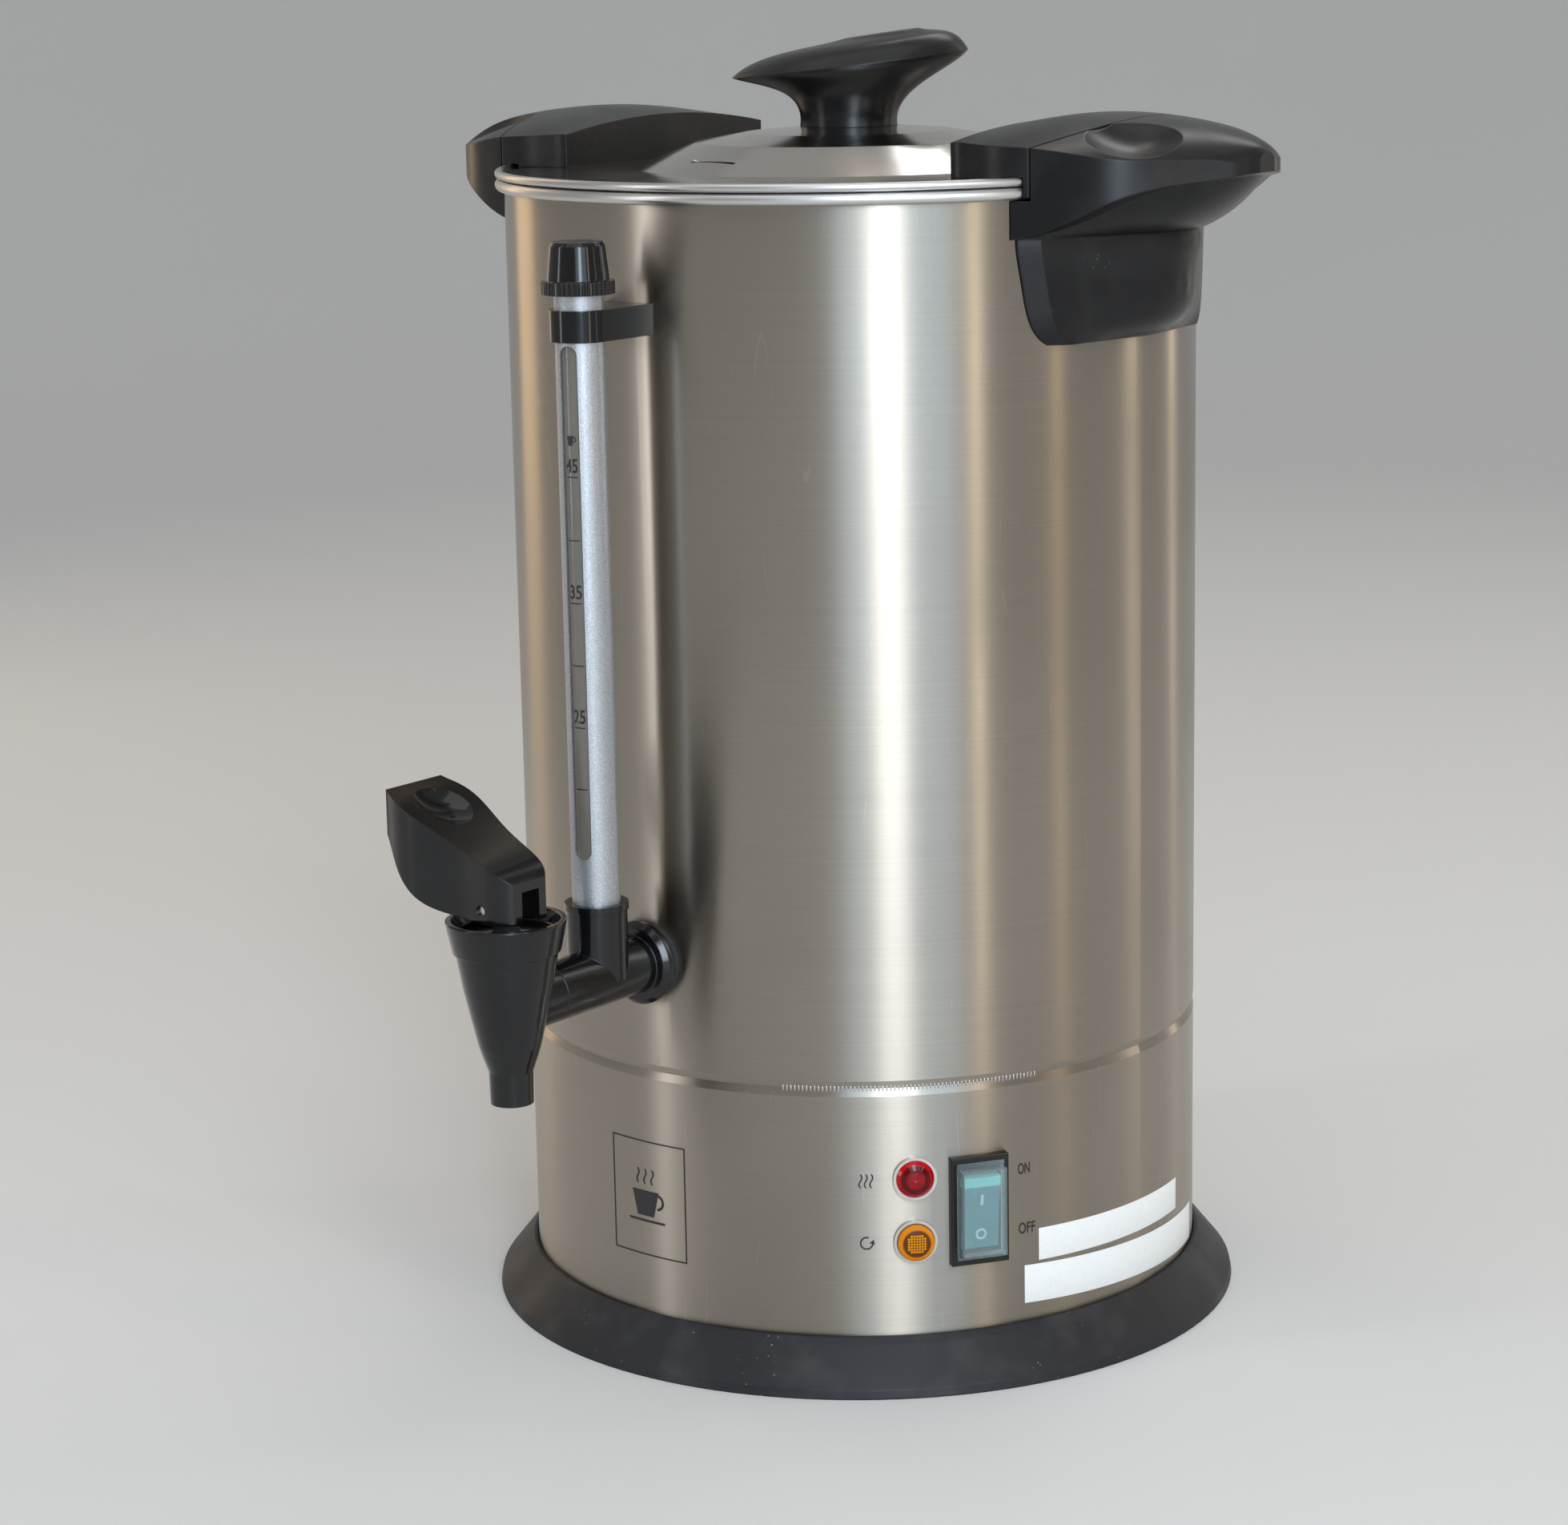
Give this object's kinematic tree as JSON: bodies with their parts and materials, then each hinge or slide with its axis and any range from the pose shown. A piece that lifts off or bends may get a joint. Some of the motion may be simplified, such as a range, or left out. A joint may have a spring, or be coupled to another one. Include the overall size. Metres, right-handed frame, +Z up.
{
  "type": "coffee urn",
  "caption": "Cylindrical steel coffee urn on a flared base, with lift-off lid, side handles, lever tap, level gauge, lamp, reset button and rocker switch.",
  "frame": {"origin": "on the vertical axis of the tank, in the plane that the feet stand on", "axes": "+Z up, the tap and gauge toward -Y, the handles on +X and -X"},
  "size_m": [0.313, 0.3207, 0.4187],
  "materials": {
    "brushed_steel": "stainless sheet, brushed around the body",
    "polished_steel": "polished stainless sheet",
    "stainless": "plain stainless sheet",
    "fastener_steel": "plain steel",
    "heater_steel": "dull heater rod",
    "satin_black": "satin moulded",
    "charcoal_base": "matt moulded",
    "collar_trim": "pale bright ring",
    "gloss_black": "gloss moulded",
    "stem_plastic": "plain moulded",
    "terminal_plastic": "plain moulded",
    "wire_cover": "wire insulation",
    "seal_rubber": "plain rubber",
    "sleeve_silver": "silver sleeve",
    "clear_tube": "clear tube",
    "clear_boot": "clear soft cover",
    "teal_rocker": "tinted rocker",
    "red_lens": "tinted lens",
    "amber_button": "tinted button"
  },
  "bodies": {
    "urn": {"rubber_feet": "seal_rubber", "bottom_plate": "brushed_steel", "bottom_screws": "fastener_steel", "base_ring": "charcoal_base", "base_skirt": "brushed_steel", "tank_shell": "brushed_steel", "tank_floor": "brushed_steel", "boil_heater": "heater_steel", "warm_heater": "heater_steel", "thermostat": "heater_steel", "thermal_cutout": "heater_steel", "terminal_block": "terminal_plastic", "wiring": "wire_cover", "cord_gland": "gloss_black", "gland_nut": "gloss_black", "lamp_collar": "collar_trim", "lamp_lens": "red_lens", "lamp_body": "terminal_plastic", "lamp_clip": "fastener_steel", "reset_housing": "collar_trim", "reset_spring": "fastener_steel", "reset_clip": "fastener_steel", "switch_housing": "gloss_black", "rocker_pin": "fastener_steel", "switch_boot": "clear_boot", "handle_right": "satin_black", "handle_left": "satin_black", "handle_washers": "stainless", "handle_screws": "fastener_steel", "tap_gasket": "seal_rubber", "tap_tee": "gloss_black", "tap_inner_gasket": "seal_rubber", "tap_nut": "gloss_black", "tap_body": "gloss_black", "tap_bonnet": "gloss_black", "stem_spring": "fastener_steel", "gauge_seal": "seal_rubber", "gauge_tube": "clear_tube", "gauge_guard": "sleeve_silver", "gauge_bracket": "gloss_black", "bracket_screw": "fastener_steel"},
    "lid": {"lid_plate": "polished_steel", "lid_wing_right": "satin_black", "lid_wing_left": "satin_black", "wing_screws": "fastener_steel", "lid_knob": "satin_black", "knob_washer": "stainless", "knob_screw": "fastener_steel"},
    "percolator": {"pump_tube": "stainless", "coffee_basket": "stainless", "basket_cover": "stainless"},
    "seat": {"seat_cup": "seal_rubber"},
    "stem": {"tap_stem": "stem_plastic", "lever_pin": "fastener_steel"},
    "lever": {"tap_lever": "gloss_black"},
    "cap_seal": {"cap_liner": "seal_rubber"},
    "cap": {"gauge_cap": "gloss_black"},
    "rocker": {"switch_rocker": "teal_rocker"},
    "reset": {"reset_button": "amber_button"}
  },
  "joints": [
    {"name": "lid_lift", "type": "slide", "parent": "urn", "child": "lid", "axis": [0, 0, 1], "range_m": [0, 0.4]},
    {"name": "percolator_lift", "type": "slide", "parent": "urn", "child": "percolator", "axis": [0, 0, 1], "range_m": [0, 0.3]},
    {"name": "seat_lift", "type": "slide", "parent": "urn", "child": "seat", "axis": [0, 0, 1], "range_m": [0, 0.0053], "deforming": ["stem_spring"]},
    {"name": "tap_swivel", "type": "hinge", "parent": "seat", "child": "stem", "pos_m": [0, -0.177, 0.152], "axis": [0, 0, 1], "range_deg": [-20, 200]},
    {"name": "lever_press", "type": "hinge", "parent": "stem", "child": "lever", "pos_m": [0, -0.177, 0.166], "axis": [0, -1, 0], "range_deg": [0, 20], "stiffness_Nm_per_rad": 0.3, "springref_deg": -14.32},
    {"name": "cap_rise", "type": "slide", "parent": "urn", "child": "cap_seal", "axis": [0, 0, 1], "range_m": [0, 0.0046]},
    {"name": "cap_turn", "type": "hinge", "parent": "cap_seal", "child": "cap", "pos_m": [0, -0.1354, 0.353], "axis": [0, 0, 1], "range_deg": [0, 1080]},
    {"name": "rocker_tilt", "type": "hinge", "parent": "urn", "child": "rocker", "pos_m": [0.09065, -0.0623, 0.0563], "axis": [-0.5664, -0.8241, 0], "range_deg": [0, 12]},
    {"name": "reset_press", "type": "slide", "parent": "urn", "child": "reset", "axis": [-0.7071, 0.7071, 0], "range_m": [0, 0.001], "stiffness_N_per_m": 900, "springref_m": -0.0015, "deforming": ["reset_spring"]}
  ],
  "couplings": [
    {"joint": "percolator_lift", "follows": "lid_lift", "ratio": 0.75},
    {"joint": "seat_lift", "follows": "lever_press", "m_per_rad": 0.015},
    {"joint": "cap_rise", "follows": "cap_turn", "m_per_rad": 0.00023873}
  ]
}
